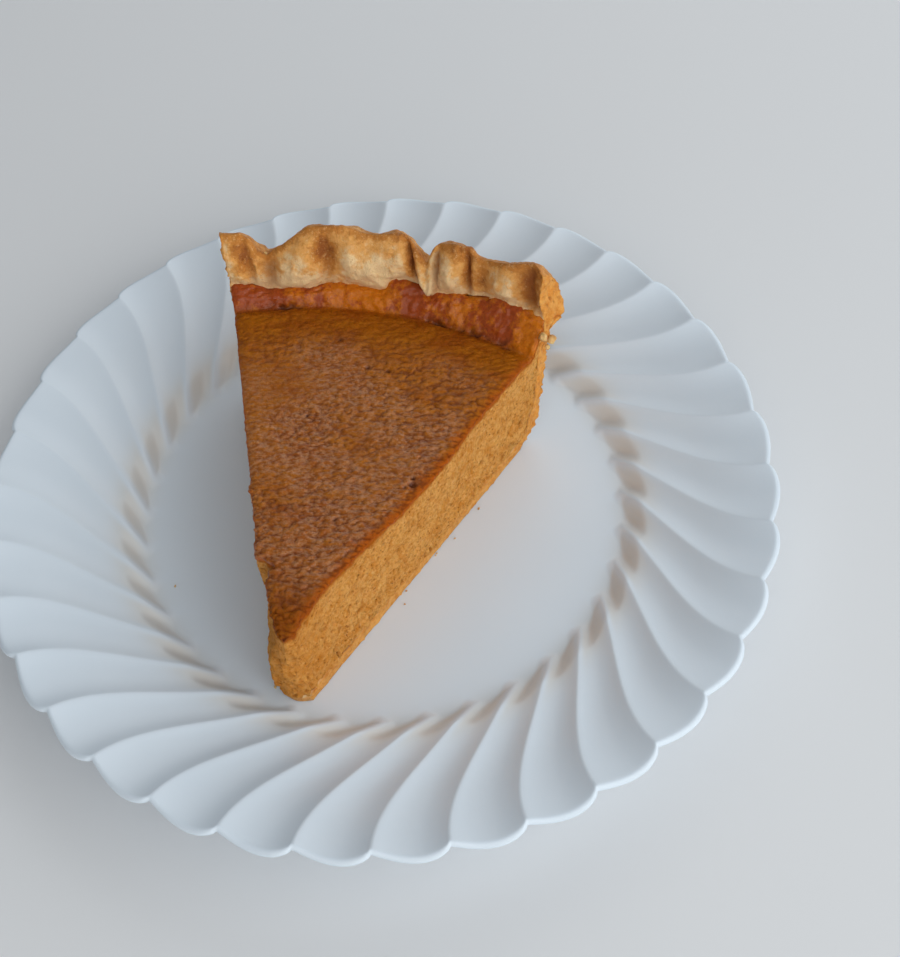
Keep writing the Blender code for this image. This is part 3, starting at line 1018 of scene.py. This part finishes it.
def rim_lines(angle):
    """Corners of the rim's outer and inner sides at these angles, both ending on the ridge."""
    in_radius, in_height = contact(angle)
    height = smoothed(RIM_HEIGHTS, angle, 0.5)
    over = height - 53.6
    top = 112.3 + 0.173 * over
    out = 119.6 + 0.4 * over + 0.6 * np.sin(np.radians(angle * 40.0))
    full = np.ones_like(angle)
    lifted = 3.0 * ramp(28.0, 34.0, angle)
    outer = [
        (109.3 * full, 27.0 * full),
        (109.9 * full, 32.0 * full),
        (112.6 * full, 34.6 + lifted),
        (out - 2.4, 34.0 + lifted),
        (out - 0.2, 36.6 + lifted),
        (out, 41.0 + lifted + 0.1 * over),
        (top + 0.80 * (out - top), height - 0.56 * (height - 40.0 - lifted)),
        (top + 0.46 * (out - top), height - 0.25 * (height - 40.0 - lifted)),
        (top + 0.15 * (out - top), height - 0.06 * (height - 40.0 - lifted)),
        (top, height),
    ]
    face = top - in_radius
    climb = height - in_height
    inner = [
        (105.3 * full, 26.0 * full),
        (105.9 * full, 33.0 * full),
        (in_radius, in_height),
        (in_radius - 0.5 + 0.08 * face, in_height + 0.25 * climb),
        (in_radius - 0.5 + 0.20 * face, in_height + 0.50 * climb),
        (in_radius + 0.52 * face, in_height + 0.78 * climb),
        (in_radius + 0.80 * face, in_height + 0.94 * climb),
        (top, height),
    ]
    return (
        np.stack([np.stack(corner, axis=-1) for corner in outer], axis=-2),
        np.stack([np.stack(corner, axis=-1) for corner in inner], axis=-2),
    )


def crust_sides(share):
    """Outer and inner side of the wall and rim at these angular shares, matched point by point."""
    angle = LEFT_CUT + share * SPREAD
    outer, inner = rim_lines(angle)
    wall_outer = np.broadcast_to(np.array(OUTER_WALL[:-1]), (len(share), 6, 2))
    wall_inner = np.broadcast_to(np.array(INNER_WALL[:-1]), (len(share), 5, 2))
    outer = smooth_line(np.concatenate([wall_outer, outer], axis=1), 12)
    inner = smooth_line(np.concatenate([wall_inner, inner], axis=1), 12)
    spots = np.linspace(0.0, 1.0, 130)
    return resampled(outer, spots), resampled(inner, spots)


def resampled(lines, spots):
    """Points at even shares of each line's length."""
    found = np.empty((len(lines), len(spots), 2))
    for i, line in enumerate(lines):
        steps = np.concatenate([[0.0], np.cumsum(np.hypot(*np.diff(line, axis=0).T))])
        for axis in (0, 1):
            found[i, :, axis] = np.interp(spots * steps[-1], steps, line[:, axis])
    return found


def crust_lattice():
    """The crust's surface as (angular share, radius, height, inner side) points, before any relief."""
    patch = Patchwork(4)
    base = np.linspace(CRUST_TIP, 93.0, BASE_ROWS)
    base_share = np.linspace(0.0, 1.0, BASE_COLUMNS + 1)
    share = np.linspace(0.0, 1.0, CRUST_COLUMNS + 1)
    outer, inner = crust_sides(share)
    edges = []
    for side, line, level in ((0.0, outer, 0.0), (1.0, inner, BASE_TOP + 0.1)):
        flat = patch.add(stacked(base_share[:, None], base, level, side))
        fade = ramp(0.90, 1.0, np.linspace(0.0, 1.0, line.shape[1]))
        wall = patch.add(stacked(share[:, None], line[..., 0], line[..., 1], side + (0.5 - side) * fade))
        patch.quads(flat)
        patch.quads(wall)
        patch.seam(flat[:, -1], wall[:, 0])
        edges.append(level)
    depth = np.linspace(0.0, 1.0, CUT_LAYERS + 1)[:, None]
    for end in (0, -1):
        low = np.concatenate([np.stack([base, np.full_like(base, edges[0])], axis=-1), outer[end]])
        high = np.concatenate([np.stack([base, np.full_like(base, edges[1])], axis=-1), inner[end]])
        across = low[:, 0] + depth * (high[:, 0] - low[:, 0])
        up = low[:, 1] + depth * (high[:, 1] - low[:, 1])
        across[-1] = high[:, 0]
        up[-1] = high[:, 1]
        sides = depth + (0.5 - depth) * np.concatenate([np.zeros(BASE_ROWS), fade])
        patch.grid(stacked(float(share[end]), across, up, sides))
    up = edges[0] + depth * (edges[1] - edges[0])
    patch.grid(stacked(base_share, CRUST_TIP, up, depth))
    return patch


def build_crust():
    points, faces = crust_lattice().welded()
    share, radius, height, side = points.T
    radius = nose(share, radius)
    height = height + base_wave(share, radius, height)
    angle = cut_angle(share, height)
    left = radius * math.radians(SPREAD) * share
    right = radius * math.radians(SPREAD) * (1.0 - share)
    ridge = smoothed(RIM_HEIGHTS, LEFT_CUT + share * SPREAD, 0.5)
    in_radius, in_height = contact(LEFT_CUT + share * SPREAD)
    level = np.clip((height - in_height) / (ridge - in_height), 0.0, 1.0)
    rim = ramp(-1.0, 2.0, height - in_height)
    inside = ramp(0.2, 0.8, side)
    fold_shade = np.zeros(len(points))
    back = np.zeros(len(points))
    for foot, top, width, deep in RIM_FOLDS:
        line = hill(angle - foot - (top - foot) * level, width) * rim * inside
        back += deep * line * np.sin(np.pi * np.clip(0.12 + 0.76 * level, 0.0, 1.0))
        # The folds that go back are painted darker as painted shade.
        if deep > 0.0:
            fold_shade = np.maximum(fold_shade, line * min(deep / 2.2, 1.0) * ramp(1.0, 0.7, level))
    back += (1.0 - inside) * rim * 0.7 * np.sin(np.radians(angle * 60.0))
    # tone: real browning of the rim's spots, with painted shade in the dents and painted highlight on the knobs.
    tone = np.zeros(len(points))
    for spot_angle, spot_level, wide, tall, deep, browning_and_shading in RIM_SPOTS:
        spot = hill(angle - spot_angle, wide) * hill(level - spot_level, tall) * rim * inside
        back += deep * spot
        tone += browning_and_shading * spot
    place = to_xyz(angle, radius + back, height)
    cut = np.maximum(np.exp(-left / 0.35), np.exp(-right / 0.35))

    piece = make_piece("pie_crust", place, faces, pastry_finish())
    normals = normals_of(piece)
    holes = pores(place, 2.2, 51, share=0.5, smallest=0.16, largest=0.42)
    small = pores(place, 1.1, 53, share=0.6, smallest=0.22, largest=0.45)
    crumb = 0.80 * rough(place, 2.6, 55, 3) - 0.8 * holes - 0.35 * small
    blister = np.maximum(noise(place, 2.6, 57), 0.0) * ramp(-0.2, 0.4, noise(place, 11.0, 58))
    baked = 0.42 * rough(place, 6.0, 59, 2) + 0.26 * rough(place, 1.9, 60, 2) + 0.75 * blister
    baked -= 0.35 * pores(place, 1.6, 61, share=0.22, smallest=0.2, largest=0.45)
    hidden = ramp(94.0, 90.0, radius) * (1.0 - cut)
    rise = cut * crumb + (1.0 - cut) * baked * (1.0 - 0.9 * hidden)
    rise = rise * ramp(-0.2, 0.8, height + 3.0 * (radius > 100.0))
    move(piece, place + normals * rise[:, None])
    paint(piece, {
        "toast_and_shading": pastry_toast(angle, radius, height, level, rim, inside) + tone,
        "cut": cut,
        "fold_shade": fold_shade,
        # The pit layer paints shade into the pores of the cut crust.
        "pit_shade": cut * np.maximum(holes, 0.5 * small),
        "base": ramp(7.0, 2.0, height) * ramp(100.0, 96.0, radius),
        "join_darkening": hill(height - in_height, 0.8) * inside * rim * 0.8,
    })
    return piece


def pastry_toast(angle, radius, height, level, rim, inside):
    """How brown the crust is, 0 for pale dough and 1 for the darkest ridge."""
    face = -0.06 + 0.52 * level**1.5 + 0.42 * ramp(0.84, 1.0, level)
    outside = 0.55 + 0.25 * ramp(44.0, 52.0, height) + 0.1 * ramp(12.0, 2.0, height)
    return inside * face + (1.0 - inside) * outside


def paint(piece, layers):
    """Numbers for each vertex that the piece's material reads."""
    for key, values in layers.items():
        layer = piece.data.attributes.new(key, "FLOAT", "POINT")
        layer.data.foreach_set("value", np.asarray(values, np.float32))


# ---------------------------------------------------------------- crumbs

CRUMB_SEED = 7534
# Bits that have a place of their own: angle, radius, height and size.
PLACED_CRUMBS = (
    (35.6, 109.6, 34.8, 1.25),
    (35.5, 108.2, 33.2, 0.7),
    (35.4, 106.4, 38.6, 1.0),
    (35.6, 104.8, 40.4, 0.6),
    (-4.4, 112.0, 43.5, 0.8),
)


def crumb_mesh(shape, centre, size, draw):
    turn = Matrix.Rotation(draw.uniform(0.0, 2.0 * math.pi), 4, draw.normal(size=3))
    stretch = Matrix.Diagonal((*draw.uniform(0.6, 1.15, 3), 1.0))
    made = bmesh.ops.create_icosphere(
        shape, subdivisions=2, radius=size, matrix=Matrix.Translation(centre) @ turn @ stretch
    )
    for vertex in made["verts"]:
        away = vertex.co - Vector(centre)
        vertex.co = Vector(centre) + away * draw.uniform(0.72, 1.2)


def build_crumbs():
    draw = np.random.default_rng(CRUMB_SEED)
    shape = bmesh.new()
    for angle, radius, height, size in PLACED_CRUMBS:
        centre = to_xyz(np.array(angle), np.array(radius), np.array(height))
        crumb_mesh(shape, centre, size, draw)
    floor = FLOOR_Z
    for _ in range(11):
        side = draw.random() < 0.62
        angle = RIGHT_CUT if side else LEFT_CUT
        radius = draw.uniform(9.0, 84.0)
        away = draw.exponential(0.8) + 0.3
        size = draw.uniform(0.2, 0.42)
        turn = math.radians(angle)
        sign = 1.0 if side else -1.0
        centre = to_xyz(np.array(angle), np.array(radius), np.array(0.0))
        centre[0] += sign * away * math.cos(turn)
        centre[1] -= sign * away * math.sin(turn)
        centre[2] = floor + 0.55 * size
        if math.hypot(centre[0], centre[1]) < WELL_RADIUS:
            crumb_mesh(shape, centre, size, draw)
    crumb_mesh(shape, (-52.0, -24.0, floor + 0.2), 0.35, draw)
    mesh = bpy.data.meshes.new("pastry_crumbs")
    for vertex in shape.verts:
        vertex.co *= MM
    shape.to_mesh(mesh)
    shape.free()
    mesh.shade_smooth()
    piece = bpy.data.objects.new("pastry_crumbs", mesh)
    bpy.context.scene.collection.objects.link(piece)
    mesh.materials.append(crumb_finish())
    return piece


def crumb_finish():
    finish = Finish("pastry_crumb_finish")
    tone = finish.noise(3.0, detail=4.0)
    colour = finish.mix(finish.scale(tone, 0.35, 0.65), (0.80, 0.55, 0.22), (0.62, 0.30, 0.08))
    finish.set(
        base_color=colour,
        roughness=0.6,
        subsurface_weight=0.1,
        subsurface_scale=0.001,
        normal=finish.bump(finish.noise(0.4, detail=3.0), 0.2),
    )
    return finish.material


# ---------------------------------------------------------------- scene


def area_light(name, place, size, power, colour):
    """A square light that shines at the slice."""
    aim = Vector((0.0, -0.01, 0.02))
    data = bpy.data.lights.new(name, "AREA")
    data.shape = "SQUARE"
    data.size = size
    data.energy = power
    data.color = colour
    light = bpy.data.objects.new(name, data)
    light.location = place
    light.rotation_mode = "QUATERNION"
    light.rotation_quaternion = (aim - Vector(place)).to_track_quat("-Z", "Y")
    bpy.context.scene.collection.objects.link(light)


def build_stage():
    bpy.ops.mesh.primitive_plane_add(size=24.0, location=(0.0, 0.0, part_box("plate")[0].z))
    floor = bpy.context.object
    floor.name = "floor"
    floor.data.materials.append(floor_finish())
    area_light("window", (1.05, -0.40, 0.62), 1.4, 11.0, (0.955, 0.985, 1.0))
    area_light("back_glow", (0.30, 1.0, 0.55), 1.2, 4.5, (0.95, 0.98, 1.0))
    area_light("front_fill", (0.10, -1.0, 0.65), 1.4, 7.0, (1.0, 0.99, 0.98))
    world = bpy.data.worlds.new("studio")
    world.use_nodes = True
    sky = world.node_tree.nodes["Background"]
    sky.inputs["Color"].default_value = (0.92, 0.98, 1.04, 1.0)
    sky.inputs["Strength"].default_value = 0.19
    bpy.context.scene.world = world
    bpy.context.scene.view_settings.view_transform = "Standard"
    bpy.context.scene.view_settings.look = "None"


def build_camera():
    """Looks down at about 55 degrees, with the slice's tip towards the viewer."""
    data = bpy.data.cameras.new("camera")
    data.sensor_width = 36.0
    data.lens = 51.37
    data.clip_start = 0.01
    camera = bpy.data.objects.new("camera", data)
    aim = Vector((0.01772, -0.00212, 0.0207))
    azimuth = math.radians(-3.45)
    elevation = math.radians(55.25)
    distance = 0.3427
    back = Vector(
        (
            -math.sin(azimuth) * math.cos(elevation),
            -math.cos(azimuth) * math.cos(elevation),
            math.sin(elevation),
        )
    )
    camera.rotation_mode = "QUATERNION"
    roll = Matrix.Rotation(math.radians(-3.57), 3, "Z")
    facing = (-back).to_track_quat("-Z", "Y").to_matrix()
    camera.location = aim + back * distance
    camera.rotation_quaternion = (facing @ roll).to_quaternion()
    bpy.context.scene.collection.objects.link(camera)
    bpy.context.scene.camera = camera


def main():
    for piece, node, slot in (
        (build_plate(), "plate", "white_glaze"),
        (build_crust(), "crust", "baked_pastry"),
        (build_filling(), "filling", "pumpkin_custard"),
    ):
        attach(piece, "root")
        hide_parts(node)
    crumbs = build_crumbs()
    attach(crumbs, "root")
    build_stage()
    build_camera()


main()
